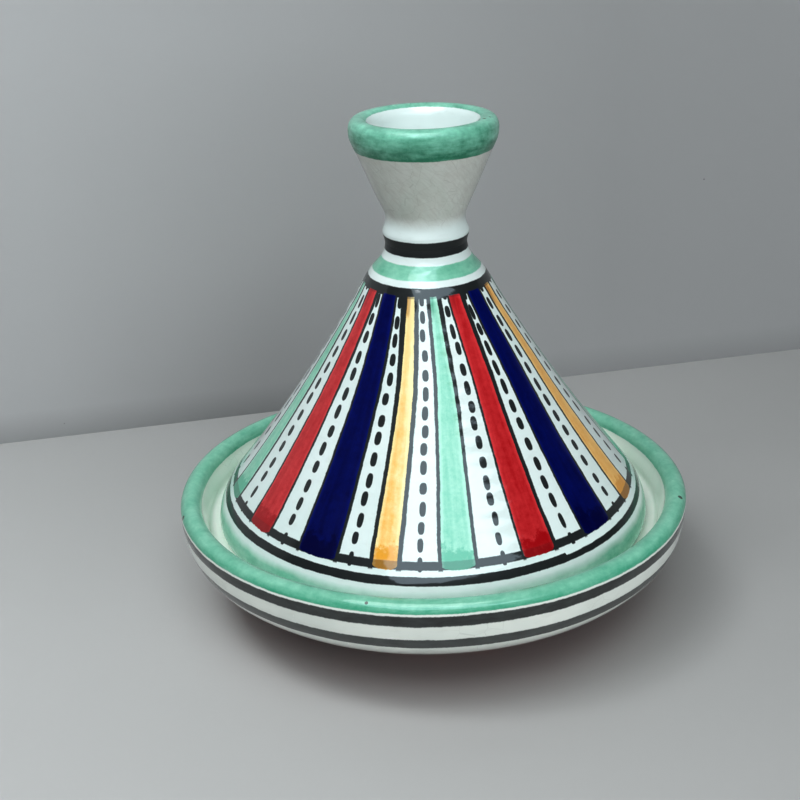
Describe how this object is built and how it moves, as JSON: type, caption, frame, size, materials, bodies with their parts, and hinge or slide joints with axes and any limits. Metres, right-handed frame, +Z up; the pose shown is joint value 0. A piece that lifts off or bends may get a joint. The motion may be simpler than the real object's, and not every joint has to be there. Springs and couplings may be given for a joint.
{
  "type": "tagine pot",
  "caption": "Small painted earthenware tagine: a shallow footed dish with a lid ledge, and a lift-off conical lid with a flared hollow knob.",
  "frame": {"origin": "centre of the foot ring, on the table the pot stands on", "axes": "+Z up along the pot's axis; the pot is a body of revolution, and -Y faces the viewer"},
  "size_m": [0.15, 0.15, 0.1416],
  "materials": {
    "dish_glaze": "glossy tin glaze over mint and black painted bands; bare terracotta foot",
    "lid_glaze": "glossy tin glaze over hand-painted stripes",
    "knob_glaze": "glossy tin glaze, mint painted rim"
  },
  "bodies": {
    "dish": {"base_dish": "dish_glaze"},
    "lid": {"lid_cone": "lid_glaze", "lid_knob": "knob_glaze"}
  },
  "joints": [
    {"name": "lid_lift", "type": "slide", "parent": "dish", "child": "lid", "axis": [0, 0, 1], "range_m": [0, 0.12]}
  ]
}
